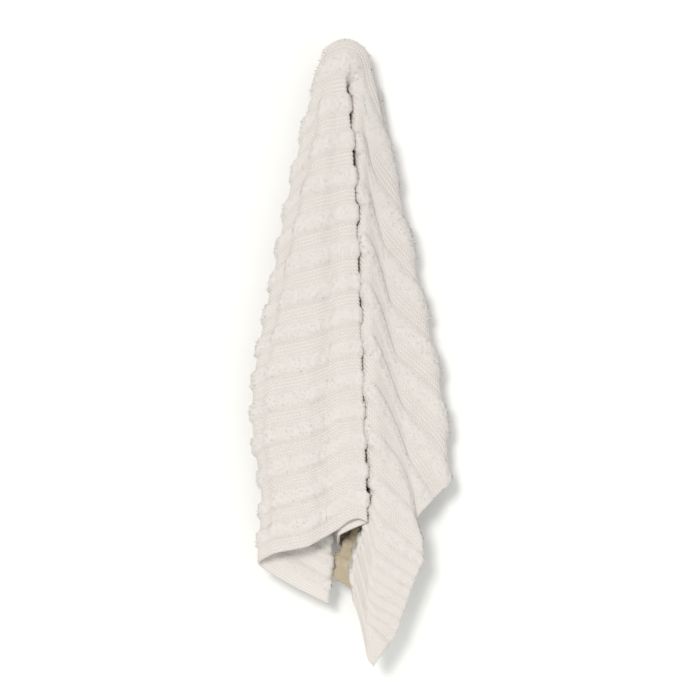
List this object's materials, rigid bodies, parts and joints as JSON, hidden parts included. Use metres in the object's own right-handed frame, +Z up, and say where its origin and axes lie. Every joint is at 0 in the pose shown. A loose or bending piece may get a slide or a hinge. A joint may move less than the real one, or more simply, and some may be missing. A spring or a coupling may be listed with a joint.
{
  "type": "chenille throw blanket",
  "caption": "Cream knitted throw with raised chenille bands, hanging from one point in deep folds that end in two lower corners.",
  "frame": {"origin": "the point under the top of the dome where the cloth rests on its peg or hook", "axes": "+Z up, -Y the front of the folds, +X to the right seen from the front; the back of the folds faces the wall at +Y"},
  "size_m": [0.4796, 0.1341, 1.5192],
  "materials": {
    "cream_chenille": "soft matt pile bands between finely knitted bands"
  },
  "bodies": {
    "root": {"throw_blanket": "cream_chenille"}
  },
  "joints": []
}
